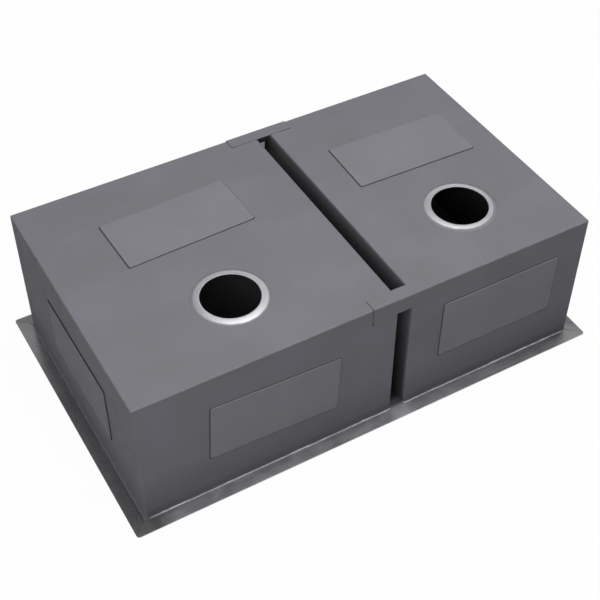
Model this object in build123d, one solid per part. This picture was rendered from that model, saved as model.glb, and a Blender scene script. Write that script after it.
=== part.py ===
from build123d import *
import math
import os

# Double bowl kitchen sink, folded and welded from stainless sheet, with sprayed undercoat
# and sound pads. It lies on its rim, upside down, so that the drains face up.
# Millimetres. The origin is the middle of the rim's deck face, and +Z points to the drains.
# +X runs along the sink from the large bowl to the small one. The front is at -Y.

# Bowls and rim
large_bowl_length = 431.0       # outside of the steel, along X
small_bowl_length = 330.2
bowl_width = 459.6              # outside of the steel, along Y
bowl_depth = 250.3              # deck face to the outside of the floor
divider_gap = 26.8              # between the two bowls
rim_overhang = 25.1             # how far the rim stands out round the bowls
rim_corner_radius = 5.0
sheet = 1.5                     # steel thickness
fold_radius = 0.5               # inside radius of the floor's folds
rim_fold_radius = 1.4           # radius between the walls and the rim, on the drain side
foot_height = 6.0               # height of the folded foot that carries the rim strips

# Welds
mitre_gap = 1.4                 # width of the weld in each rim mitre
mitre_start = 1.6               # each mitre weld starts this far out from the bowl's corner
weld_sink = 0.2                 # the mitre weld lies this much below the rim's surface
weld_root = 0.6                 # thickness of the weld at the bottom of its pit
weld_pit = 5.0                  # the pit at the bowl's corner reaches this far out
seam_gap = 1.2                  # width of the butt weld along the divider land

# Drains
drain_hole_radius = 46.0
drain_seat_height = 3.7         # the seat round the hole stands this high above the floor
drain_seat_radius = 54.6        # where the seat's sloping wall meets the seat
drain_wall_radius = 58.3        # where the sloping wall meets the floor
drain_collar_radius = 62.5      # outside of the collar's flat flange, let into the floor
drain_bend_radius = 3.0         # middle line of the collar's two bends
drain_edge_radius = 0.4
drain_from_front = 126.8
large_drain_from_end = 217.8
small_drain_from_end = 159.0

# Undercoat
coat = 0.5
coat_start = 3.4                # the coat stops this high above the deck face
coat_hole_radius = 60.2

# Bridge plates over the ends of the channel
bridge_sheet = 1.5
bridge_fold_radius = 0.5
bridge_top_leg = 21.0
front_bridge_length = 112.0
front_bridge_wall_leg = 27.0
front_bridge_offset = -1.4      # from the middle of the channel
back_bridge_length = 111.5
back_bridge_wall_leg = 52.0
back_bridge_offset = -5.0

# Gusset in the channel
gusset_width = 8.5
gusset_length = 16.0
gusset_sheet = 3.0
gusset_from_back = 32.0
gusset_rise = 0.3               # its top stands this much above the floor's steel

# Sound pads
pad_length = 218.0
pad_thickness = 2.0
pad_corner_radius = 3.5
pad_edge_radius = 0.5
# Each pad's place on its face: sideways and up from the face's middle, its tilt in degrees,
# and the width that it was cut to.
large_floor_pad = dict(sideways=5.9, up=83.7, tilt=1.9, width=107.8)
small_floor_pad = dict(sideways=6.1, up=66.6, tilt=-1.4, width=107.4)
large_front_pad = dict(sideways=7.2, up=2.7, tilt=-2.8, width=109.6)
small_front_pad = dict(sideways=3.3, up=16.0, tilt=-0.2, width=113.6)
large_end_pad = dict(sideways=16.0, up=4.4, tilt=0.7, width=107.0)
small_end_pad = dict(sideways=-9.0, up=6.0, tilt=-1.2, width=108.0)
large_back_pad = dict(sideways=-7.0, up=4.0, tilt=1.4, width=108.0)
small_back_pad = dict(sideways=4.0, up=9.0, tilt=0.8, width=108.0)


def box_between(low, high):
    """A box from its lowest to its highest corner."""
    size = [b - a for a, b in zip(low, high)]
    return Pos(*low) * Box(*size, align=(Align.MIN, Align.MIN, Align.MIN))


# ---------------------------------------------------------------- places that follow from the sizes
rim_length = large_bowl_length + divider_gap + small_bowl_length + 2 * rim_overhang
rim_width = bowl_width + 2 * rim_overhang
front = -bowl_width / 2
back = bowl_width / 2
edge_radius = fold_radius + sheet
large_end = -rim_length / 2 + rim_overhang
large_divider = large_end + large_bowl_length
small_divider = large_divider + divider_gap
small_end = small_divider + small_bowl_length
channel_middle = (large_divider + small_divider) / 2
drain_y = front + drain_from_front


class Bowl:
    """One bowl's plan: its two ends along X, and the drain."""

    def __init__(self, name, end, divider, drain_from_end):
        self.name = name
        self.end = end
        self.divider = divider
        self.inward = 1 if divider > end else -1
        self.low = min(end, divider)
        self.high = max(end, divider)
        self.middle = (end + divider) / 2
        self.drain_x = end + self.inward * drain_from_end


large = Bowl("large", large_end, large_divider, large_drain_from_end)
small = Bowl("small", small_end, small_divider, small_drain_from_end)


# ---------------------------------------------------------------- bowls
def bowl_block(bowl, grow=0.0):
    """The bowl's outside as a solid block with rounded edges, grown by a coat's thickness."""
    block = box_between(
        (bowl.low - grow, front - grow, 0),
        (bowl.high + grow, back + grow, bowl_depth + grow),
    )
    upright = block.edges().filter_by(Axis.Z)
    around_floor = block.faces().sort_by(Axis.Z)[-1].edges()
    return fillet(upright + around_floor, radius=edge_radius + grow)


def bowl_shell(bowl):
    """The steel of the bowl: the block, hollowed, with the folds' inside radius."""
    space = box_between(
        (bowl.low + sheet, front + sheet, 0),
        (bowl.high - sheet, back - sheet, bowl_depth - sheet),
    )
    folds = space.faces().sort_by(Axis.Z)[-1].edges().filter_by(Axis.X)
    return bowl_block(bowl) - fillet(folds, radius=fold_radius)


def rim_outline():
    """The rim's outline, as high as the foot of the walls."""
    return extrude(RectangleRounded(rim_length, rim_width, rim_corner_radius), amount=foot_height)


def mitre_slot(bowl, side, start, width, height):
    """A slot along the mitre from the bowl's outer corner to the rim's corner."""
    corner = (bowl.end - bowl.inward * start, side * (bowl_width / 2 + start))
    direction = math.degrees(math.atan2(side, -bowl.inward))
    slot = Box(2 * rim_overhang, width, height, align=(Align.MIN, Align.CENTER, Align.MIN))
    return Pos(*corner) * Rot(Z=direction) * slot


def mitred_foot(bowl, start, finish, overhang):
    """The rim strip and the fold under one wall, cut to its mitres.

    start and finish are the wall's outside corners in plan, with the outside on the right hand.
    """
    along = (Vector(*finish) - Vector(*start)).normalized()
    outward = Vector(along.Y, -along.X)
    section_plane = Plane(origin=start, x_dir=outward, z_dir=outward.cross(Vector(0, 0, 1)))
    middle_line = FilletPolyline(
        (overhang, sheet / 2),
        (-sheet / 2, sheet / 2),
        (-sheet / 2, foot_height),
        radius=rim_fold_radius + sheet / 2,
    )
    section = section_plane * trace(middle_line, sheet)
    strip = extrude(section, amount=rim_length, both=True)

    def corner(point, sideways, out):
        place = Vector(*point) + along * sideways + outward * out
        return (place.X, place.Y)

    inside = 2 * sheet
    mitres = Polyline(
        corner(start, -rim_overhang, rim_overhang),
        corner(finish, rim_overhang, rim_overhang),
        corner(finish, -inside, -inside),
        corner(start, inside, -inside),
        close=True,
    )
    foot = strip & extrude(make_face(mitres), amount=foot_height) & rim_outline()
    rim_edge = bowl.end - bowl.inward * rim_overhang
    land_edge = channel_middle - bowl.inward * seam_gap / 2
    fold_top = sheet + rim_fold_radius
    low_zone = box_between(
        (min(rim_edge, land_edge), -rim_width / 2, 0),
        (max(rim_edge, land_edge), rim_width / 2, fold_top),
    )
    foot = foot & (low_zone + bowl_block(bowl))
    for side in (-1, 1):
        foot -= mitre_slot(bowl, side, mitre_start, mitre_gap, fold_top)
    return foot


def above_foot(shape, low, high):
    """The part of a shape that lies above the foot, inside an upright box."""
    return shape & box_between((low[0], low[1], foot_height), high)


def bowl_wrap(bowl):
    """Front wall, floor and back wall, folded from one sheet with their rim strips."""
    walls = above_foot(
        bowl_shell(bowl), (bowl.low + sheet, front), (bowl.high - sheet, back, bowl_depth)
    )
    front_foot = mitred_foot(bowl, (bowl.low, front), (bowl.high, front), rim_overhang)
    back_foot = mitred_foot(bowl, (bowl.high, back), (bowl.low, back), rim_overhang)
    opening = Pos(bowl.drain_x, drain_y, bowl_depth) * Cylinder(drain_collar_radius, 4 * sheet)
    return walls + front_foot + back_foot - opening


def upright_wall(bowl, outside_x, overhang):
    """An end or divider wall: a plate between the wrap's walls, with its own rim strip."""
    low_x = outside_x if outside_x == bowl.low else outside_x - sheet
    plate = above_foot(
        bowl_shell(bowl), (low_x, front + sheet), (low_x + sheet, back - sheet, bowl_depth - sheet)
    )
    if outside_x == bowl.high:
        foot = mitred_foot(bowl, (outside_x, front), (outside_x, back), overhang)
    else:
        foot = mitred_foot(bowl, (outside_x, back), (outside_x, front), overhang)
    return plate + foot


def seam_welds(bowl):
    """The corner welds that join the wrap to both upright walls, ground round."""
    welds = []
    for low_x in (bowl.low, bowl.high - sheet):
        end_slice = above_foot(
            bowl_shell(bowl), (low_x, front), (low_x + sheet, back, bowl_depth)
        )
        plate = box_between(
            (low_x, front + sheet, foot_height),
            (low_x + sheet, back - sheet, bowl_depth - sheet),
        )
        welds.append(end_slice - plate)
    return Compound(children=welds)


def rim_mitre_welds():
    """The welds in the four rim mitres, each with a pit at the bowl's corner."""
    welds = []
    for bowl in (large, small):
        for side in (-1, 1):
            root = mitre_slot(bowl, side, mitre_start, mitre_gap, weld_root)
            bead = mitre_slot(bowl, side, weld_pit, mitre_gap, sheet - weld_sink)
            welds.append((root + bead) & rim_outline())
    return Compound(children=welds)


def divider_seam_weld():
    """The butt weld along the middle of the divider land and across both rim strips."""
    return box_between(
        (channel_middle - seam_gap / 2, -rim_width / 2, 0),
        (channel_middle + seam_gap / 2, rim_width / 2, sheet),
    )


def drain_collar(bowl):
    """The domed ring round the drain hole: a flat flange, a sloping wall and a raised seat."""
    middle_line = FilletPolyline(
        (drain_collar_radius, -sheet / 2),
        (drain_wall_radius, -sheet / 2),
        (drain_seat_radius, drain_seat_height - sheet / 2),
        (drain_hole_radius, drain_seat_height - sheet / 2),
        radius=drain_bend_radius,
    )
    section = trace(middle_line, sheet)
    seat_edge = section.vertices().sort_by(Axis.X)[:2].sort_by(Axis.Y)[-1]
    section = fillet(seat_edge, radius=drain_edge_radius)
    return Pos(bowl.drain_x, drain_y, bowl_depth) * revolve(Plane.XZ * section, axis=Axis.Z)


# ---------------------------------------------------------------- channel
def bridge_plate(outward, length, wall_leg, offset):
    """A folded plate over one end of the channel. outward is -1 at the front, 1 at the back."""
    wall_y = outward * bowl_width / 2
    middle = bridge_sheet / 2
    middle_line = FilletPolyline(
        (wall_y - outward * bridge_top_leg, bowl_depth + middle),
        (wall_y + outward * middle, bowl_depth + middle),
        (wall_y + outward * middle, bowl_depth - wall_leg),
        radius=bridge_fold_radius + middle,
    )
    plate = extrude(Plane.YZ * trace(middle_line, bridge_sheet), amount=length / 2, both=True)
    return Pos(X=channel_middle + offset) * plate


def bridge_footprint(outward, length, wall_leg, offset):
    """What a bridge plate keeps free of undercoat: its two legs and the corner between them."""
    low_x = channel_middle + offset - length / 2
    wall_y = outward * bowl_width / 2
    outer_y = wall_y + outward * bridge_sheet
    top_y = wall_y - outward * bridge_top_leg
    corner_y = wall_y - outward * edge_radius

    def leg(first_y, second_y, low_z):
        return box_between(
            (low_x, min(first_y, second_y), low_z),
            (low_x + length, max(first_y, second_y), bowl_depth + bridge_sheet),
        )

    on_floor = leg(top_y, outer_y, bowl_depth)
    on_fold = leg(corner_y, outer_y, bowl_depth - edge_radius)
    on_wall = leg(wall_y, outer_y, bowl_depth - wall_leg)
    return on_floor + on_fold + on_wall


def channel_gusset():
    """The small triangular tab on the large bowl's divider wall."""
    back_y = back - gusset_from_back
    triangle = Polyline(
        (large_divider, back_y),
        (large_divider, back_y - gusset_length),
        (large_divider + gusset_width, back_y),
        close=True,
    )
    top = bowl_depth + gusset_rise
    return Pos(Z=top - gusset_sheet) * extrude(make_face(triangle), amount=gusset_sheet)


# ---------------------------------------------------------------- undercoat and pads
def undercoat(bowl, footprints):
    """The sprayed coat on the bowl's outside, open at the drain and round what stands on the steel."""
    sprayed = box_between(
        (bowl.low - coat, front - coat, coat_start),
        (bowl.high + coat, back + coat, bowl_depth + coat),
    )
    skin = (bowl_block(bowl, coat) - bowl_block(bowl)) & sprayed
    skin -= Pos(bowl.drain_x, drain_y, bowl_depth) * Cylinder(coat_hole_radius, 4 * coat)
    for footprint in footprints:
        skin -= footprint
    return skin


def sound_pad(face, sideways, up, tilt, width):
    """A rubber pad stuck on one coated face, with its outer edges eased."""
    slab = extrude(RectangleRounded(pad_length, width, pad_corner_radius), amount=pad_thickness)
    outer_edges = slab.faces().sort_by(Axis.Z)[-1].edges()
    return face * Pos(sideways, up) * Rot(Z=tilt) * fillet(outer_edges, radius=pad_edge_radius)


def floor_face(bowl):
    return Plane(origin=(bowl.middle, 0, bowl_depth + coat))


def wall_face(bowl, outward):
    """The plane of the front (-1) or back (1) wall's coat, with its x axis to the right."""
    origin = (bowl.middle, outward * (bowl_width / 2 + coat), bowl_depth / 2)
    return Plane(origin=origin, x_dir=(-outward, 0, 0), z_dir=(0, outward, 0))


def end_face(bowl):
    """The plane of the end wall's coat, with its x axis to the right as seen from outside."""
    outward = -bowl.inward
    origin = (bowl.end + outward * coat, 0, bowl_depth / 2)
    return Plane(origin=origin, x_dir=(0, outward, 0), z_dir=(outward, 0, 0))


# ---------------------------------------------------------------- the whole sink
front_bridge = (-1, front_bridge_length, front_bridge_wall_leg, front_bridge_offset)
back_bridge = (1, back_bridge_length, back_bridge_wall_leg, back_bridge_offset)
footprints = [
    bridge_footprint(*front_bridge),
    bridge_footprint(*back_bridge),
    channel_gusset(),
]

parts = {
    "rim_mitre_welds": rim_mitre_welds(),
    "divider_seam_weld": divider_seam_weld(),
    "front_bridge_plate": bridge_plate(*front_bridge),
    "back_bridge_plate": bridge_plate(*back_bridge),
    "channel_gusset": channel_gusset(),
    "large_floor_pad": sound_pad(floor_face(large), **large_floor_pad),
    "small_floor_pad": sound_pad(floor_face(small), **small_floor_pad),
    "large_front_pad": sound_pad(wall_face(large, -1), **large_front_pad),
    "small_front_pad": sound_pad(wall_face(small, -1), **small_front_pad),
    "large_back_pad": sound_pad(wall_face(large, 1), **large_back_pad),
    "small_back_pad": sound_pad(wall_face(small, 1), **small_back_pad),
    "large_end_pad": sound_pad(end_face(large), **large_end_pad),
    "small_end_pad": sound_pad(end_face(small), **small_end_pad),
}
for bowl in (large, small):
    parts[bowl.name + "_bowl_wrap"] = bowl_wrap(bowl)
    parts[bowl.name + "_bowl_end_wall"] = upright_wall(bowl, bowl.end, rim_overhang)
    parts[bowl.name + "_bowl_divider_wall"] = upright_wall(bowl, bowl.divider, divider_gap / 2)
    parts[bowl.name + "_bowl_seam_welds"] = seam_welds(bowl)
    parts[bowl.name + "_bowl_undercoat"] = undercoat(bowl, footprints)
    parts[bowl.name + "_drain_collar"] = drain_collar(bowl)

os.makedirs("parts", exist_ok=True)
for name, shape in parts.items():
    export_step(shape, "parts/" + name + ".step")
    print(name, round(shape.volume, 1))
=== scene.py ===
# %% [markdown]
# # A double bowl kitchen sink, upside down
# The sink lies on its rim, so we look at the side that a cupboard hides: two bowls folded from
# stainless sheet, sprayed with a grey coat that quiets the water, with pads stuck on their floors
# and outer walls. The shapes come ready-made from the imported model. This lesson dresses them: it
# adds a few small pieces, and gives every surface a finish built from nodes.

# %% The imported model
import math

import bmesh
import bpy
from mathutils import Matrix, Quaternion, Vector


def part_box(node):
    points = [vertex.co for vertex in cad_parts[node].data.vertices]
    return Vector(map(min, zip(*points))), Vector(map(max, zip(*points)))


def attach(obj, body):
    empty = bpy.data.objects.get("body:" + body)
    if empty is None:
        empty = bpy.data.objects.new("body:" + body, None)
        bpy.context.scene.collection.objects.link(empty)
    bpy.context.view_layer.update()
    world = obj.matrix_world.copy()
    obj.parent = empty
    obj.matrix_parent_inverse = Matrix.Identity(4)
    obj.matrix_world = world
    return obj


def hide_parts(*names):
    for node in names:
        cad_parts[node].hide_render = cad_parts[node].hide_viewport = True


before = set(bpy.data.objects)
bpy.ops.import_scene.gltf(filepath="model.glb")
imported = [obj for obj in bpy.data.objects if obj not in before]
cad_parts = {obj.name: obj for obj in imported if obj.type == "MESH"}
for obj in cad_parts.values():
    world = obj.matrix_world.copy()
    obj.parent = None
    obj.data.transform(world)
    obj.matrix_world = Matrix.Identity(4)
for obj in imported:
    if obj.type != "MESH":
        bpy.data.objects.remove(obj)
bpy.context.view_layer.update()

# %% [markdown]
# ## Sizes that the lesson needs
# The sink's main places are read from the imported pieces, so that what is added here follows them.
# Everything is in metres, as Blender likes it, and a millimetre is given its own name. The middle
# of the sink's length and width is the zero of X and Y, and the rim lies at the height zero.

# %% Places on the sink
mm = 0.001
bowls = {"large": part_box("large_bowl_undercoat"), "small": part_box("small_bowl_undercoat")}
large_low, large_high = bowls["large"]
small_low = bowls["small"][0]
rim_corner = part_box("large_bowl_end_wall")[0]
coat_thickness = 0.5 * mm
coat_top = large_high.z
steel_top = coat_top - coat_thickness
coat_front = -large_low.y
steel_front = coat_front - coat_thickness
steel_end = -large_low.x - coat_thickness
print("The floors' coat lies", round(coat_top / mm, 1), "mm above the stage")

# %% [markdown]
# Between the bowls runs an open channel. Its sides are the coats of the two divider walls. The
# marks below lie a millimetre inside those walls, so that a finish can tell the walls of the
# channel from the floors beside it.

# %% The channel
channel_left = large_high.x - mm
channel_right = small_low.x + mm
channel_middle = (channel_left + channel_right) / 2
channel_half = (channel_right - channel_left) / 2
print("The channel is", round(2 * (channel_half - mm) / mm, 1), "mm wide between the coats")

# %% [markdown]
# ## Camera
# The picture is taken from well above, a little to the left of the sink's front. A camera's place
# is three numbers, and two angles say where it looks: one round the sink and one down from the
# level. The last angle is the small tilt of a camera that is held by hand. The lens alone is in
# plain millimetres, since that is how Blender takes it.

# %% Camera
camera_place = Vector((-0.7193, -1.2399, 1.5146))
camera_azimuth = math.radians(-30.195)
camera_elevation = math.radians(45.283)
camera_roll = math.radians(0.4498)
camera_lens = 72.63

level = math.cos(camera_elevation)
backwards = Vector((
    math.sin(camera_azimuth) * level,
    -math.cos(camera_azimuth) * level,
    math.sin(camera_elevation),
))
camera = bpy.data.objects.new("camera", bpy.data.cameras.new("camera"))
bpy.context.scene.collection.objects.link(camera)
camera.data.lens = camera_lens
camera.location = camera_place
camera.rotation_mode = "QUATERNION"
turn = (-backwards).to_track_quat("-Z", "Y")
camera.rotation_quaternion = turn @ Quaternion((0, 0, 1), camera_roll)
bpy.context.scene.camera = camera
print("The camera stands", round(camera_place.length, 2), "m from the middle of the rim")

# %% [markdown]
# ## A workbench for finishes
# A finish is a small tree of nodes. Building it takes the same few steps again and again: add a
# node, set its numbers, plug sockets together. The class below keeps one material and its node
# tree together, so that each finish further on reads like a recipe. Noise stays mostly between 0.3
# and 0.7, so one of its steps spreads just that range over the two values that are wanted.

# %% Finish class
class Finish:
    """A material being made: its node tree, its shader and its Object coordinates."""

    def __init__(self, name):
        self.material = bpy.data.materials.new(name)
        self.material.use_nodes = True
        self.tree = self.material.node_tree
        self.shader = self.tree.nodes["Principled BSDF"]
        self.place = self.add("TexCoord").outputs["Object"]

    def add(self, kind, inputs=None, **settings):
        """A new node. An input is a number, a colour, or another node's socket to plug in."""
        made = self.tree.nodes.new("ShaderNode" + kind)
        for name, value in settings.items():
            setattr(made, name, value)
        for name, value in (inputs or {}).items():
            self.feed(made.inputs[name], value)
        return made

    def feed(self, socket, value):
        """Plugs a socket into an input, or sets the input's own value."""
        if isinstance(value, bpy.types.NodeSocket):
            self.tree.links.new(value, socket)
        else:
            socket.default_value = value

    def set(self, **values):
        """Sets or feeds the shader's own sockets, such as base_color or roughness."""
        for name, value in values.items():
            socket = name.replace("_", " ").title().replace("Ior", "IOR")
            self.feed(self.shader.inputs[socket], value)

    def axis(self, letter, vector=None):
        """One coordinate of a vector, or of the point's place when no vector is given."""
        return self.add("SeparateXYZ", {"Vector": vector or self.place}).outputs[letter]

    def noise(self, size, detail=2.0, stretch=(1, 1, 1), rough=0.5):
        """Cloudy noise whose blobs are about size metres across, drawn out by stretch."""
        scale = [1 / (size * pull) for pull in stretch]
        grown = self.add("Mapping", {"Vector": self.place, "Scale": scale})
        made = self.add(
            "TexNoise",
            {"Vector": grown.outputs[0], "Scale": 1.0, "Detail": detail, "Roughness": rough},
        )
        return made.outputs["Fac"]

    def maths(self, operation, *values):
        """One step of arithmetic on numbers or sockets."""
        made = self.add("Math", operation=operation)
        for socket, value in zip(made.inputs, values):
            self.feed(socket, value)
        return made.outputs[0]

    def off(self, value, middle):
        """How far a value is from a middle, on either side of it."""
        return self.maths("ABSOLUTE", self.maths("SUBTRACT", value, middle))

    def both(self, first, second):
        """A share that is there only where both of two shares are."""
        return self.maths("MULTIPLY", first, second)

    def fade(self, value, start, stop, first, last):
        """Follows value from start to stop, smoothly, and gives first to last."""
        made = self.add(
            "MapRange",
            {"Value": value, "From Min": start, "From Max": stop, "To Min": first, "To Max": last},
            interpolation_type="SMOOTHSTEP",
        )
        return made.outputs["Result"]

    def spread(self, noise, first, last):
        """Stretches noise so that it runs from first to last."""
        return self.fade(noise, 0.3, 0.7, first, last)

    def blend(self, share, first, last):
        """A colour between first and last."""
        made = self.add("Mix", data_type="RGBA")
        self.feed(made.inputs["Factor"], share)
        self.feed(made.inputs["A"], first)
        self.feed(made.inputs["B"], last)
        return made.outputs["Result"]

    def bump(self, height, depth, strength=1.0, under=None):
        """Bends the surface's normals as if height rose by depth metres."""
        inputs = {"Height": height, "Distance": depth, "Strength": strength}
        if under is not None:
            inputs["Normal"] = under
        return self.add("Bump", inputs).outputs["Normal"]


def colour(red, green, blue):
    """A colour from linear red, green and blue, from 0 to 1."""
    return (red, green, blue, 1.0)


print("The workbench is ready")

# %% [markdown]
# ## Asking a finish where it is
# Wear, paint and painted shade follow the shape of a thing: an edge is rubbed, a corner stays dull,
# and the shade deep in a corner is painted darker. A node only knows a point's place, so the
# helpers below turn that place into distances that mean something on a sink. The sink is much the
# same on both sides of its middle, so the size of X or Y without its sign is often enough.

# %% Distances on the sink
def past_walls(finish):
    """How far a point lies outside the end walls' line, and outside the front and back's."""
    past_end = finish.maths("SUBTRACT", finish.maths("ABSOLUTE", finish.axis("X")), steel_end)
    past_front = finish.maths("SUBTRACT", finish.maths("ABSOLUTE", finish.axis("Y")), steel_front)
    return past_end, past_front


def channel_depth(finish):
    """How deep a point lies in the channel, from the nearest opening. It is 0 elsewhere."""
    below = finish.maths("SUBTRACT", coat_top, finish.axis("Z"))
    behind = finish.maths("SUBTRACT", coat_front, finish.maths("ABSOLUTE", finish.axis("Y")))
    after_large = finish.maths("GREATER_THAN", finish.axis("X"), channel_left)
    before_small = finish.maths("LESS_THAN", finish.axis("X"), channel_right)
    between = finish.both(after_large, before_small)
    return finish.maths("MULTIPLY", between, finish.maths("MINIMUM", below, behind))


def edge_distance(finish, low, high):
    """How far a point lies from the nearest edge round a box's top."""
    ways = []
    for letter, first, last in (("X", low.x, high.x), ("Y", low.y, high.y)):
        off_middle = finish.off(finish.axis(letter), (first + last) / 2)
        ways.append(finish.maths("SUBTRACT", (last - first) / 2, off_middle))
    below_top = finish.maths("SUBTRACT", high.z, finish.axis("Z"))
    return finish.maths("MAXIMUM", below_top, finish.maths("MINIMUM", *ways))


print("A finish can now ask for its place on the sink")

# %% [markdown]
# ## The greys of the coat
# The coat on the bowls is a thick, soft paint that damps sound. One grey would look like plastic,
# so there are two for the coat itself, with a trace of blue in the lighter one, and more for the
# places where it changes: lighter at an edge, partly rubbed and partly a painted highlight; darker
# in the channel and darker the further down, as painted shade; and darker at the foot, as painted
# shade. The pads were stuck on first and sprayed with the bowls, but their smoother rubber takes
# the paint a little lighter, most of all on the walls.

# %% Greys of the coat
coat_dark = colour(0.186, 0.183, 0.196)
coat_light = colour(0.222, 0.216, 0.252)
# Lighter edges: partly wear, partly a painted highlight.
rubbed_and_lit_edge = colour(0.300, 0.296, 0.322)
# Painted shade for the channel: lighter near its top, darker at its bottom.
channel_shade_top = colour(0.118, 0.115, 0.124)
channel_shade_bottom = colour(0.048, 0.047, 0.050)
# Painted shade for the foot of the walls.
foot_shade_grey = colour(0.101, 0.099, 0.110)
coat_greys = (coat_dark, coat_light)
pad_greys = {
    "floor": (colour(0.214, 0.211, 0.228), colour(0.244, 0.239, 0.274)),
    "wall": (colour(0.234, 0.231, 0.249), colour(0.266, 0.261, 0.299)),
}
print("The greys of the sprayed coat are mixed")

# %% [markdown]
# ## The sprayed coat
# The paint is blown on in passes, so it has slow clouds in its grey, specks, fine orange peel, and
# a sheen that comes and goes. Slow noise gives the clouds, noise drawn out along the sink gives
# the passes, and two fine ones stacked as bumps give the peel and the grit. Then the grey is
# changed by place. Edges are lighter in patches, partly rubbed and partly a painted highlight.
# Near the rim the coat is painted darker, as painted shade, most of all on the front and back
# walls. Deep in the channel it is painted darker still, as painted shade, most of all at the bottom.

# %% Sprayed coat
def painted_foot_shade(finish):
    """How much painted shade darkens the coat near the rim: more on the front and back walls."""
    height = finish.axis("Z")
    past_end = past_walls(finish)[0]
    wall = finish.fade(height, 0.0, 100 * mm, 0.62, 0.0)
    wall = finish.both(wall, finish.fade(past_end, -4 * mm, -1 * mm, 1.0, 0.65))
    foot = finish.fade(height, 4 * mm, 26 * mm, 0.45, 0.0)
    foot = finish.both(foot, finish.fade(past_end, -4 * mm, -1 * mm, 1.0, 0.0))
    return finish.maths("ADD", wall, foot)


def sprayed_coat(node, greys, edge_lightening):
    """A satin sprayed paint: lighter edges (wear and painted highlight), painted shade in the channel and
    low down.
    """
    finish = Finish(node)
    clouds = finish.maths("MULTIPLY", finish.noise(110 * mm, detail=3), 0.7)
    passes = finish.maths("MULTIPLY", finish.noise(60 * mm, stretch=(5, 1, 1)), 0.3)
    specks = finish.spread(finish.noise(1.2 * mm, detail=1), -0.16, 0.16)
    share = finish.spread(finish.maths("ADD", clouds, passes), 0.2, 0.8)
    coat = finish.blend(finish.maths("ADD", share, specks), *greys)

    # Lighter patches along the top edges: partly wear, partly a painted highlight.
    edge = finish.fade(edge_distance(finish, *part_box(node)), 0.7 * mm, 1.8 * mm, 1.0, 0.0)
    patches = finish.fade(finish.noise(9 * mm, detail=4, rough=0.6), 0.42, 0.62, 0.0, edge_lightening)
    coat = finish.blend(finish.both(edge, patches), coat, rubbed_and_lit_edge)

    # Painted shade: the coat is darkened near the rim, most of all at the foot of the front and back
    # walls.
    coat = finish.blend(painted_foot_shade(finish), coat, foot_shade_grey)
    # Painted shade: the coat darkens deeper in the channel, and most towards its bottom.
    deep = finish.fade(channel_depth(finish), 0.5 * mm, 11 * mm, 0.0, 1.0)
    high = finish.fade(finish.axis("Z"), 0.0, 240 * mm, 0.0, 1.0)
    coat = finish.blend(deep, coat, finish.blend(high, channel_shade_bottom, channel_shade_top))

    sheen = finish.noise(22 * mm, detail=3)
    peel = finish.bump(finish.noise(3.5 * mm, detail=2), 0.10 * mm)
    grit = finish.bump(finish.noise(0.8 * mm, detail=2), 0.03 * mm, under=peel)
    finish.set(
        base_color=coat,
        roughness=finish.fade(sheen, 0.25, 0.75, 0.65, 0.77),
        normal=grit,
        specular_ior_level=0.12,
    )
    return finish.material


print("The sprayed coat can be mixed for any piece")

# %% [markdown]
# ## Where the rim changes
# The rim is bare steel, but not the same all over. Overspray from the walls reaches a little way
# out, with a ragged edge, and its grey is darkened as painted shade at the foot of the walls.
# Welding left a straw and brown tint beside each mitre, and grinding left a duller band there,
# most of all on the right. Along the foot of the front and back walls a bright band is a painted
# highlight of the fold there. The floor of the channel is painted darker further in, as painted
# shade, and the mouth of the channel was ground dull. This class keeps those shares together,
# since both the colour and the roughness of the steel ask for them.

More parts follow.
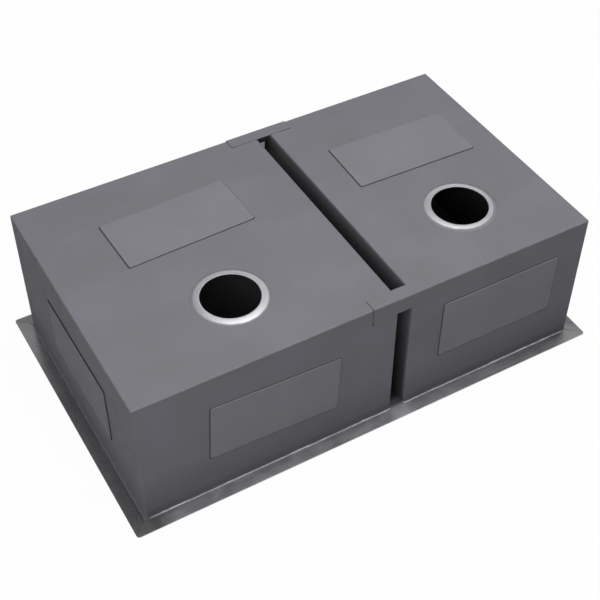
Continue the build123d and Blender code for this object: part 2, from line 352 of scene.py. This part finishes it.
# %% Shares on the rim
class RimShares:
    """How much of each change is at a point of the rim, as shares from 0 to 1."""

    def __init__(self, finish, smudges, spray_reach, spray_blur, fold_highlight_share):
        past_end, past_front = past_walls(finish)
        past_wall = finish.maths("MAXIMUM", past_end, past_front)
        from_channel = finish.maths("SUBTRACT", finish.off(finish.axis("X"), channel_middle), channel_half)
        beside_channel = finish.fade(from_channel, 0.0, 2 * mm, 0.0, 1.0)
        in_channel = finish.fade(from_channel, -1 * mm, 0.0, 1.0, 0.0)

        ragged = finish.spread(finish.noise(20 * mm, detail=3), -0.4 * mm, 0.4 * mm)
        past_spray = finish.maths("ADD", finish.maths("SUBTRACT", past_wall, spray_reach), ragged)
        spray = finish.fade(past_spray, -spray_blur, spray_blur, 1.0, 0.0)
        self.spray = finish.both(spray, beside_channel)

        # Painted highlight: a bright band along the fold at the foot of the front and back walls.
        fold_highlight = finish.fade(past_wall, 2.0 * mm, 3.4 * mm, fold_highlight_share, 0.0)
        fold_highlight = finish.both(fold_highlight, beside_channel)
        self.fold_highlight = finish.both(fold_highlight, finish.fade(past_end, -14 * mm, -2 * mm, 1.0, 0.0))

        self.dull = finish.both(in_channel, finish.fade(past_front, -12 * mm, 3 * mm, 1.0, 0.0))
        # Painted shade on the floor of the channel, darker further in.
        self.channel_floor_shade = finish.both(in_channel, finish.fade(past_front, -5 * mm, 6 * mm, 1.0, 0.0))
        self.channel_floor_depth_share = finish.fade(past_front, -20 * mm, -8 * mm, 1.0, 0.0)
        ragged_mouth = finish.maths("ADD", from_channel, finish.spread(smudges, -12 * mm, 12 * mm))
        mouth = finish.fade(ragged_mouth, -6 * mm, 14 * mm, 1.0, 0.0)
        self.mouth = finish.both(mouth, finish.fade(past_front, -6 * mm, 0.0, 0.0, 1.0))

        from_mitre = finish.off(past_end, past_front)
        from_mitre = finish.maths("MULTIPLY", from_mitre, finish.spread(smudges, 0.6, 1.2))
        self.straw = finish.fade(from_mitre, 2 * mm, 30 * mm, 0.48, 0.0)
        self.brown = finish.fade(from_mitre, 0.5 * mm, 4.0 * mm, 0.12, 0.0)
        mitre = finish.fade(from_mitre, 8 * mm, 26 * mm, 1.0, 0.0)
        rightwards = finish.fade(finish.axis("X"), -380 * mm, 380 * mm, 0.3, 1.0)
        self.mitre = finish.both(mitre, rightwards)


print("The steel can now ask for its place on the rim")

# %% [markdown]
# ## Brushed steel
# The rim and the inside of the bowls are stainless sheet with a fine ground grain. The grain is
# noise drawn out hundreds of times along one direction, which varies the colour and the roughness
# and leaves hair-fine scratches. Each wall was brushed along its own length, so the direction is a
# setting. Towards the right end the steel is painted darker, as painted shade for that dimmer
# side, and at the left end the long strip is painted darker near its corner.

# %% Brushed steel
# Painted shade towards the right end, and a darker long strip near the left corner.
end_darkening_grey = colour(0.30, 0.29, 0.305)
straw_tint = colour(0.34, 0.325, 0.32)
brown_tint = colour(0.22, 0.18, 0.15)
# Painted shade for the floor of the channel: lighter at its mouth, darker further in.
channel_floor_shade_mouth = colour(0.204, 0.198, 0.209)
channel_floor_shade_deep = colour(0.060, 0.058, 0.062)
# Painted highlight for the fold at the foot of the front and back walls.
fold_highlight_grey = colour(0.95, 0.94, 0.97)
# Overspray is real paint; its dark grey is also painted shade at the foot of the walls.
overspray_and_shade = colour(0.120, 0.119, 0.122)


def brushed_steel(
    name, along, dark, light, roughness, unevenness, spray_reach, spray_blur, fold_highlight_share, left_darkening
):
    """Bare ground stainless with its grain along one axis.

    The overspray ends at spray_reach from the walls, as softly as spray_blur says. The shares at
    the end are for the painted highlight along the fold at the walls' foot, and for the painted
    darkening of the long strip at the left end.
    """
    finish = Finish(name)
    smudges = finish.noise(30 * mm, detail=4, rough=0.6)
    shares = RimShares(finish, smudges, spray_reach, spray_blur, fold_highlight_share)
    pull = [400 if letter == along else 1 for letter in "XYZ"]
    grain = finish.noise(0.35 * mm, detail=3, stretch=pull)
    # Painted shade towards the right end; the long strip is also darkened near the left corner.
    right_darkening = finish.fade(finish.axis("X"), 230 * mm, 370 * mm, 0.0, 0.7)
    left_darkening = finish.fade(finish.axis("X"), -385 * mm, -350 * mm, left_darkening, 0.0)

    steel = finish.blend(finish.spread(grain, 0.0, 1.0), dark, light)
    changes = (
        # painted shade towards the ends
        (finish.maths("MAXIMUM", right_darkening, left_darkening), end_darkening_grey),
        (shares.straw, straw_tint),
        (shares.brown, brown_tint),
        # painted shade on the channel's floor
        (shares.channel_floor_shade, finish.blend(shares.channel_floor_depth_share, channel_floor_shade_mouth, channel_floor_shade_deep)),
        # painted highlight along the fold
        (shares.fold_highlight, fold_highlight_grey),
        # overspray, darkened as painted shade
        (shares.spray, overspray_and_shade),
    )
    for share, tint in changes:
        steel = finish.blend(share, steel, tint)

    rough = finish.spread(grain, roughness - 0.03, roughness + 0.05)
    rough = finish.maths("ADD", rough, finish.spread(smudges, -unevenness, 2 * unevenness))
    rougher = (
        (shares.spray, 0.3),
        (shares.dull, 0.2),
        (shares.fold_highlight, 0.3),
        (shares.mouth, 0.52 - roughness),
        (shares.mitre, 0.42 - roughness),
    )
    for share, more in rougher:
        rough = finish.maths("MULTIPLY_ADD", share, more, rough)

    finish.set(
        base_color=steel,
        metallic=finish.maths("SUBTRACT", 1.0, shares.spray),
        roughness=rough,
        normal=finish.bump(grain, 0.006 * mm),
    )
    return finish.material


print("The brushed steel can be cut for any wall")

# %% [markdown]
# ## Three cuts of steel
# The wraps, which carry the long strips of the rim, are brushed along X and are satin. The end
# walls are brushed the other way and are smoother, which is why the short strips of the rim look
# darker from the front: they mirror less of the light. Their steel is also painted a darker grey,
# as painted shade for the darker wall that they mirror. The divider walls are brushed like the end
# walls but are as satin as the wraps.

# %% Cuts of steel
steel_pale = (colour(0.56, 0.55, 0.575), colour(0.63, 0.62, 0.645))
# A darker steel for the end walls: painted shade for the darker wall that their strips mirror.
steel_darkened_for_shade = (colour(0.48, 0.47, 0.485), colour(0.54, 0.53, 0.545))
steel_along_x = brushed_steel(
    "brushed_steel_lengthwise", "X", *steel_pale, roughness=0.40, unevenness=0.04,
    spray_reach=1.0 * mm, spray_blur=0.8 * mm, fold_highlight_share=0.9, left_darkening=1.0,
)
steel_along_y = brushed_steel(
    "brushed_steel_crosswise", "Y", *steel_darkened_for_shade, roughness=0.22, unevenness=0.012,
    spray_reach=2.0 * mm, spray_blur=2.0 * mm, fold_highlight_share=0.0, left_darkening=0.0,
)
steel_divider = brushed_steel(
    "brushed_steel_divider", "Y", *steel_pale, roughness=0.40, unevenness=0.02,
    spray_reach=2.0 * mm, spray_blur=1.0 * mm, fold_highlight_share=0.0, left_darkening=0.0,
)
print("Three cuts of brushed steel are ready")

# %% [markdown]
# ## Weld metal
# The ground welds are the same steel, melted and set again. They are a little darker, and small
# ripples are left where the torch moved on.

# %% Weld metal
def weld_metal(name):
    """Rippled weld metal with a heat tint."""
    finish = Finish(name)
    ripples = finish.noise(1.6 * mm, detail=2)
    tint = finish.noise(6 * mm, detail=3)
    finish.set(
        base_color=finish.blend(tint, colour(0.40, 0.37, 0.34), colour(0.54, 0.52, 0.49)),
        metallic=1.0,
        roughness=finish.spread(ripples, 0.26, 0.40),
        normal=finish.bump(ripples, 0.03 * mm),
    )
    return finish.material


weld = weld_metal("weld_metal")
print("The weld metal is ready")

# %% [markdown]
# ## Dressing the imported pieces
# A imported piece keeps its shape. It only gets a finish in its material slots. The weld along the
# divider was ground and brushed with the sheets beside it, so it wears their steel. The bridge
# plates and the gusset were sprayed with the bowls, and their edges get no lightening from wear or
# painted highlight.

# %% Finishes on the imported pieces
def dress(node, material):
    """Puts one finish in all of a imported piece's material slots."""
    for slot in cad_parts[node].material_slots:
        slot.material = material
    print(node, "wears", material.name)


# How strongly the top edges are lightened: partly wear, partly painted highlight.
edge_lightening_share = 0.6
for name in bowls:
    dress(name + "_bowl_wrap", steel_along_x)
    dress(name + "_bowl_end_wall", steel_along_y)
    dress(name + "_bowl_divider_wall", steel_divider)
    dress(name + "_bowl_seam_welds", weld)
    coat = name + "_bowl_undercoat"
    dress(coat, sprayed_coat(coat, coat_greys, edge_lightening_share))
    for face in ("floor", "front", "back", "end"):
        pad = name + "_" + face + "_pad"
        greys = pad_greys["floor" if face == "floor" else "wall"]
        dress(pad, sprayed_coat(pad, greys, edge_lightening_share))
dress("rim_mitre_welds", weld)
dress("divider_seam_weld", steel_divider)
for node in ("front_bridge_plate", "back_bridge_plate"):
    dress(node, sprayed_coat(node, coat_greys, 0.0))
dress("channel_gusset", sprayed_coat("channel_gusset", (coat_dark, coat_dark), 0.0))

# %% [markdown]
# ## Making new pieces
# New pieces are built with bmesh, Blender's bench for shaping meshes by operators. They all end
# the same way: their faces are turned to look outward, and the mesh becomes an object.

# %% From bmesh to object
def make_piece(name, bm, smooth=False):
    """Puts a finished bmesh into the scene as an object, with its faces looking outward."""
    bmesh.ops.recalc_face_normals(bm, faces=bm.faces)
    mesh = bpy.data.meshes.new(name)
    bm.to_mesh(mesh)
    bm.free()
    if smooth:
        mesh.shade_smooth()
    piece = bpy.data.objects.new(name, mesh)
    bpy.context.scene.collection.objects.link(piece)
    return piece


def spin_line(bm, corners, edges, steps):
    """Spins a line in the plane of X and Z once round the Z axis."""
    bmesh.ops.spin(
        bm, geom=corners + edges, cent=(0, 0, 0), axis=(0, 0, 1), angle=math.tau,
        steps=steps, use_merge=True, use_duplicate=False,
    )


print("New pieces can be made")

# %% [markdown]
# ## Drain rings
# Round each drain hole a pressed ring is let into the floor. It rises in a smooth dome to a flat
# seat, where the strainer's gasket goes. A ring like this is a turned shape, so it is enough to
# draw its section, as a few corners: how far each is from the middle of the drain, and how high
# above the steel of the floor.

# %% Section of a drain ring
ring_steel = 1.5 * mm
ring_hole = 46.0 * mm
ring_outside = 62.5 * mm
ring_steps = 128
seat_height = 3.85 * mm
ring_section = [
    (ring_outside, 0.0),
    (59.7 * mm, 0.0),
    (58.9 * mm, 0.9 * mm),
    (52.8 * mm, 3.45 * mm),
    (ring_hole, seat_height),
    (ring_hole, seat_height - ring_steel),
    (53.0 * mm, 2.1 * mm),
    (58.6 * mm, -ring_steel),
    (ring_outside, -ring_steel),
]
# Each bend: the section's corner, the bevel's size and its segments.
ring_bends = [
    (1, 0.3 * mm, 2),
    (2, 0.5 * mm, 3),
    (3, 5.0 * mm, 14),
    (4, 0.35 * mm, 3),
    (6, 2.2 * mm, 4),
    (7, 1.3 * mm, 4),
]
print("The ring's section has", len(ring_section), "corners, and", len(ring_bends), "are rounded")

# %% [markdown]
# ## Turning a ring
# The section is spun once round the Z axis. Its bends are then rounded one by one: the edges that
# run round the ring at that corner are found by their radius and height, and bevelled. Last, the
# ring is moved to its drain and shaded smooth.

# %% Turned ring
def ring_edges(bm, radius, height):
    """The edges that run round the ring at one corner of its section."""
    def at_corner(point):
        off_radius = abs(Vector((point.x, point.y)).length - radius)
        return off_radius < 0.01 * mm and abs(point.z - height) < 0.01 * mm

    return [edge for edge in bm.edges if all(at_corner(vert.co) for vert in edge.verts)]


def turned_ring(name, middle, floor_height):
    """A drain ring spun from its section, with round bends."""
    bm = bmesh.new()
    corners = [bm.verts.new((radius, 0, height)) for radius, height in ring_section]
    edges = [bm.edges.new(pair) for pair in zip(corners, corners[1:] + corners[:1])]
    spin_line(bm, corners, edges, ring_steps)
    for corner, size, segments in ring_bends:
        bmesh.ops.bevel(
            bm, geom=ring_edges(bm, *ring_section[corner]), offset=size, affect="EDGES",
            segments=segments, profile=0.5, material=-1,
        )
    bmesh.ops.remove_doubles(bm, verts=bm.verts, dist=0.001 * mm)
    bmesh.ops.translate(bm, verts=bm.verts, vec=(middle.x, middle.y, floor_height))
    return make_piece(name, bm, smooth=True)


print("A ring can be turned")

# %% [markdown]
# ## Steel of the drain rings
# Before spraying, a round mask was laid on each dome, by hand and so a little off the middle. The
# steel under it stayed bare. The finish measures the distance from the mask's own middle, and
# fades from steel to paint at the mask's radius with a slightly ragged edge. The punched wall of
# the hole is painted nearly black, as painted shade, since it lies in shadow over the dark bowl.
# The paint outside the mask is a touch lighter than the coat, painted light for the dome's shaded
# flank.

# %% Steel of the drain rings
mask_shifts = {"large": (0.6 * mm, -1.1 * mm), "small": (-1.4 * mm, 0.6 * mm)}
mask_radii = {"large": 56.6 * mm, "small": 55.3 * mm}
seat_steel = (colour(0.53, 0.53, 0.56), colour(0.60, 0.60, 0.63))
# Painted shade for the punched wall of the hole.
punched_wall_shade = colour(0.05, 0.05, 0.05)
# A touch lighter than the coat's mean grey: painted light for the dome's shaded flank.
ring_paint_lightened = colour(0.222, 0.219, 0.237)


def ring_finish(name, middle, floor_height, mask_shift, mask_radius):
    """Satin bare steel under the round mask, and paint outside it."""
    finish = Finish(name)
    mask_middle = middle + Vector((*mask_shift, 0))
    shift = (-mask_middle.x, -mask_middle.y, 0)
    across = finish.add("Mapping", {"Vector": finish.place, "Location": shift}).outputs[0]
    flat = finish.add("VectorMath", {0: across, 1: (1, 1, 0)}, operation="MULTIPLY").outputs[0]
    radius = finish.add("VectorMath", {0: flat}, operation="LENGTH").outputs["Value"]
    ragged = finish.spread(finish.noise(14 * mm, detail=4, rough=0.6), -0.3 * mm, 0.3 * mm)
    outside = finish.maths("SUBTRACT", finish.maths("ADD", radius, ragged), mask_radius)
    painted = finish.fade(outside, -2.3 * mm, 0.8 * mm, 0.0, 1.0)

    height = finish.axis("Z", across)
    below_seat = finish.fade(height, floor_height + 2.7 * mm, floor_height + 3.3 * mm, 1.0, 0.0)
    punched = finish.both(below_seat, finish.maths("LESS_THAN", radius, ring_hole + mm))
    clouds = finish.noise(14 * mm, detail=3)
    # Painted shade: the punched wall is darkened to nearly black.
    bare = finish.blend(punched, finish.blend(clouds, *seat_steel), punched_wall_shade)
    finish.set(
        # The painted band is lightened against the shade on the dome's flank.
        base_color=finish.blend(painted, bare, ring_paint_lightened),
        metallic=finish.maths("SUBTRACT", 1.0, painted),
        roughness=finish.maths("MULTIPLY_ADD", painted, 0.2, finish.spread(clouds, 0.44, 0.52)),
        normal=finish.bump(finish.noise(0.8 * mm, detail=2), 0.01 * mm),
    )
    return finish.material


print("The rings' steel can be mixed")

# %% [markdown]
# ## Two rings in place
# Each ring takes the place of the imported collar, whose bends are coarser. It rides on the sink's
# only body, and wears a steel finish of its own.

# %% Drain rings
for name in bowls:
    node = name + "_drain_collar"
    low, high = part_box(node)
    middle = (low + high) / 2
    ring = turned_ring(name + "_drain_ring", middle, steel_top)
    steel = ring_finish(
        name + "_ring_steel", middle, steel_top, mask_shifts[name], mask_radii[name]
    )
    ring.data.materials.append(steel)
    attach(ring, "root")
    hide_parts(node)
    print(ring.name, "has", len(ring.data.polygons), "faces")

# %% [markdown]
# ## Black shadow films, and cutting a copy
# Thin black films are laid where the pads and the ends of the bridge plates meet the bowls, as
# painted shadow: thin dark lines that follow the outline of those pieces. So each is made from a
# copy of that piece's mesh: all but a thin slice is cut away, and the slice is scaled out by the
# line's width.

# %% Black shadow film
def shadow_film_finish(name):
    """A black film for painted shadow lines, dull and lumpy."""
    finish = Finish(name)
    lumps = finish.noise(2.0 * mm, detail=3)
    finish.set(
        base_color=finish.blend(lumps, colour(0.020, 0.020, 0.022), colour(0.050, 0.050, 0.054)),
        roughness=finish.spread(lumps, 0.6, 0.8),
        normal=finish.bump(lumps, 0.2 * mm),
    )
    return finish.material


def copy_of(node):
    """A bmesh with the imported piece's mesh, its doubled points joined."""
    bm = bmesh.new()
    bm.from_mesh(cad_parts[node].data)
    bmesh.ops.remove_doubles(bm, verts=bm.verts, dist=0.001 * mm)
    return bm


def cut_away(bm, place, outward):
    """Cuts a mesh at a plane, drops what lies on the outward side, and closes the cut."""
    everything = bm.verts[:] + bm.edges[:] + bm.faces[:]
    cut = bmesh.ops.bisect_plane(
        bm, geom=everything, plane_co=place, plane_no=outward, clear_outer=True
    )
    rim = [item for item in cut["geom_cut"] if isinstance(item, bmesh.types.BMEdge)]
    bmesh.ops.edgenet_fill(bm, edges=rim)


black_shadow_film = shadow_film_finish("black_shadow_film")
# The black film draws painted shadow lines.
print("The glue is ready, and a copy can be cut")

# %% [markdown]
# ## Shadow at the ends of the bridge plates
# Where the ends of the two bridge plates meet the bowls, short dark lines are laid on as painted
# shadow. Each bead is the very end of a plate: one cut leaves a film on the floor, the second a
# film on the wall, and the third keeps only the last millimetres, from two to nineteen of them.
# The bead is then drawn out past the plate's end, and one of them reaches a little down the wall.

# %% Shadow beads at the plate ends
bead_shadow_height = 0.35 * mm
bead_shadow_width = 0.6 * mm
bead_shadow_swell = 1.02


def plate_end_shadow(name, plate, outward, side, reach, run):
    """The painted shadow at one end of a bridge plate: reach along the plate, run below its wall leg."""
    low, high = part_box(plate)
    end = high.x if side > 0 else low.x
    inner = end - side * reach
    film = coat_front + bead_shadow_height
    bm = copy_of(plate)
    cut_away(bm, Vector((0, 0, coat_top + bead_shadow_height)), Vector((0, 0, 1)))
    cut_away(bm, Vector((0, outward * film, 0)), Vector((0, outward, 0)))
    cut_away(bm, Vector((inner, 0, 0)), Vector((-side, 0, 0)))
    leg = high.z - low.z
    growth = ((reach + bead_shadow_width) / reach, bead_shadow_swell, (leg + run) / leg)
    anchor = Vector((inner, outward * coat_front, coat_top))
    bmesh.ops.scale(bm, vec=growth, space=Matrix.Translation(-anchor), verts=bm.verts)
    return make_piece(name, bm)


# Each bead: its plate and hand, which way the wall and the plate's end face, reach and run.
beads = [
    ("front", "left", -1, -1, 2 * mm, 5 * mm),
    ("front", "right", -1, 1, 2 * mm, 0.0),
    ("back", "left", 1, -1, 9 * mm, 0.0),
    ("back", "right", 1, 1, 19 * mm, 0.0),
]
for place, hand, outward, side, reach, run in beads:
    name = place + "_" + hand + "_plate_end_shadow"
    bead = plate_end_shadow(name, place + "_bridge_plate", outward, side, reach, run)
    # Painted shadow at the end of the plate.
    bead.data.materials.append(black_shadow_film)
    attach(bead, "root")
    print(bead.name, "has", len(bead.data.polygons), "faces")

# %% [markdown]
# ## Shadow line round the pads
# Round the foot of each pad lies a thin black film, a painted shadow where pad and bowl meet.
# That thin dark line is what makes a pad readable when pad and bowl are the same grey. On the walls
# the film reaches lower below the pad than above.

# %% Shadow lines round the pads
shadow_film_heights = {"floor": 0.35 * mm, "front": 0.6 * mm, "back": 0.6 * mm, "end": 1.9 * mm}
shadow_film_width = 1.0 * mm
shadow_film_left = 1.5 * mm
shadow_film_drop = 2.7 * mm
# How far the shadow film reaches on the low side of each axis: to the left, to the front and down.
shadow_film_low = (shadow_film_left, shadow_film_width, shadow_film_drop)


def pad_shadow_film(name, pad, outward, height):
    """A slice of the pad's foot, scaled out along the face that the pad is stuck on."""
    low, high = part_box(pad)
    size = high - low
    anchor = (low + high) / 2
    foot = anchor - outward * abs(outward.dot(size)) / 2
    bm = copy_of(pad)
    cut_away(bm, foot + outward * height, outward)
    growth = [1.0, 1.0, 1.0]
    for axis in range(3):
        if abs(outward[axis]) > 0.5:
            continue
        whole = shadow_film_low[axis] + shadow_film_width
        growth[axis] = 1 + whole / size[axis]
        anchor[axis] = low[axis] + shadow_film_low[axis] * size[axis] / whole
    bmesh.ops.scale(bm, vec=growth, space=Matrix.Translation(-anchor), verts=bm.verts)
    return make_piece(name, bm)


facing = {"floor": (0, 0, 1), "front": (0, -1, 0), "back": (0, 1, 0)}
for name, end_facing in (("large", (-1, 0, 0)), ("small", (1, 0, 0))):
    for face, outward in {**facing, "end": end_facing}.items():
        stem = name + "_" + face
        film = pad_shadow_film(stem + "_shadow_film", stem + "_pad", Vector(outward), shadow_film_heights[face])
        # Painted shadow: a black film round the foot of each pad.
        film.data.materials.append(black_shadow_film)
        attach(film, "root")
        print(film.name, "has", len(film.data.polygons), "faces")

# %% [markdown]
# ## Stage
# The sink stands on a pale round stage whose edge curves up into a low screen, so that every view
# has the same plain background. The stage is a turned shape too: a flat line that bends up.

# %% Stage
stage_reach = 3.4
stage_bend = 0.8
stage_height = 1.7
stage_steps = 96


def round_stage():
    """A floor that curves up into a round screen."""
    bm = bmesh.new()
    line = [(0.0, 0.0), (stage_reach, 0.0), (stage_reach, stage_height)]
    corners = [bm.verts.new((x, 0, z)) for x, z in line]
    edges = [bm.edges.new(pair) for pair in zip(corners, corners[1:])]
    spin_line(bm, corners, edges, stage_steps)
    foot = [
        edge for edge in bm.edges
        if all(abs(vert.co.z) < mm and vert.co.length > stage_reach - mm for vert in edge.verts)
    ]
    bmesh.ops.bevel(
        bm, geom=foot, offset=stage_bend, affect="EDGES", segments=12, profile=0.5, material=-1
    )
    bmesh.ops.remove_doubles(bm, verts=bm.verts, dist=0.01 * mm)
    return make_piece("stage", bm, smooth=True)


stage = round_stage()
print("The stage is", 2 * stage_reach, "m across")

# %% [markdown]
# ## The stage's paper
# The paper is mostly a plain white for the camera and for reflections, with a share of ordinary
# surface under it that keeps the sink's soft shadow. For the light that bounces about it is a
# plain grey, so that it does not light the walls from below. Under the sink, where it is only seen
# through the drains, it has no white of its own, and so the bowls stay dark inside.

# %% Paper
stage_white = 0.97
paper_seen = colour(0.95, 0.95, 0.95)
paper_dark = colour(0.20, 0.20, 0.20)
paper_light = colour(0.24, 0.24, 0.24)
under_sink = colour(0.45, 0.41, 0.46)
paper_margin = 10 * mm


def stage_finish():
    """White for the camera and in reflections, plain grey for the light, dark under the sink."""
    finish = Finish("stage_paper")
    rays = finish.add("LightPath").outputs
    seen = finish.maths("MAXIMUM", rays["Is Camera Ray"], rays["Is Glossy Ray"])
    seen = finish.maths("MAXIMUM", seen, rays["Is Transmission Ray"])
    width = finish.maths("ABSOLUTE", finish.axis("X"))
    beside = finish.maths("GREATER_THAN", width, -rim_corner.x - paper_margin)
    length = finish.maths("ABSOLUTE", finish.axis("Y"))
    before = finish.maths("GREATER_THAN", length, -rim_corner.y - paper_margin)
    clear = finish.maths("MAXIMUM", beside, before)

    paper = finish.blend(finish.noise(400 * mm, detail=2), paper_dark, paper_light)
    paper = finish.blend(seen, paper, paper_seen)
    finish.set(base_color=finish.blend(clear, under_sink, paper), roughness=0.9)
    share = finish.maths("MULTIPLY", finish.both(seen, clear), stage_white)
    glow = finish.add("Emission", {"Color": colour(1, 1, 1), "Strength": 1.0})
    mixed = finish.add("MixShader", {0: share, 1: finish.shader.outputs[0], 2: glow.outputs[0]})
    output = finish.tree.nodes["Material Output"]
    finish.feed(output.inputs["Surface"], mixed.outputs[0])
    return finish.material


stage.data.materials.append(stage_finish())
print("The stage wears its paper")

# %% [markdown]
# ## Light
# One broad soft lamp hangs over the sink, a little towards the camera's right. A second at the
# front left lights the walls that face us, and two dim ones fill in: one from the front right, and
# one low at the back right that lets the rim there shine. A dim even world lifts the shadows.
# Level faces get about as much light as their colour asks for, and upright ones about half of it,
# which is what tells floor from wall on a box that is grey all over.

# %% Light
sink_middle = (0, 0, 0.15)
sink_top = (0, 0, 0.25)
world_strength = 0.363


def soft_lamp(name, place, aim, size, power):
    """A square lamp at place that faces aim."""
    data = bpy.data.lights.new(name, "AREA")
    data.shape = "SQUARE"
    data.size = size
    data.energy = power
    lamp = bpy.data.objects.new(name, data)
    bpy.context.scene.collection.objects.link(lamp)
    lamp.location = place
    lamp.rotation_mode = "QUATERNION"
    lamp.rotation_quaternion = (Vector(aim) - Vector(place)).to_track_quat("-Z", "Y")
    lamp.visible_camera = False
    return lamp


soft_lamp("overhead", (0.22, -0.18, 1.70), sink_top, size=1.4, power=15.3)
soft_lamp("front_left", (-1.15, -1.20, 1.10), sink_middle, size=0.9, power=9.4)
soft_lamp("front_right", (1.15, -1.30, 1.00), sink_middle, size=0.9, power=1.5)
soft_lamp("back_right", (1.70, 1.65, 0.60), sink_middle, size=1.2, power=2.6)
world = bpy.data.worlds.new("studio")
bpy.context.scene.world = world
world.use_nodes = True
sky = world.node_tree.nodes["Background"]
sky.inputs["Color"].default_value = colour(1, 1, 1)
sky.inputs["Strength"].default_value = world_strength
bpy.context.scene.view_settings.view_transform = "Standard"
print("Four lamps and the world are lit")
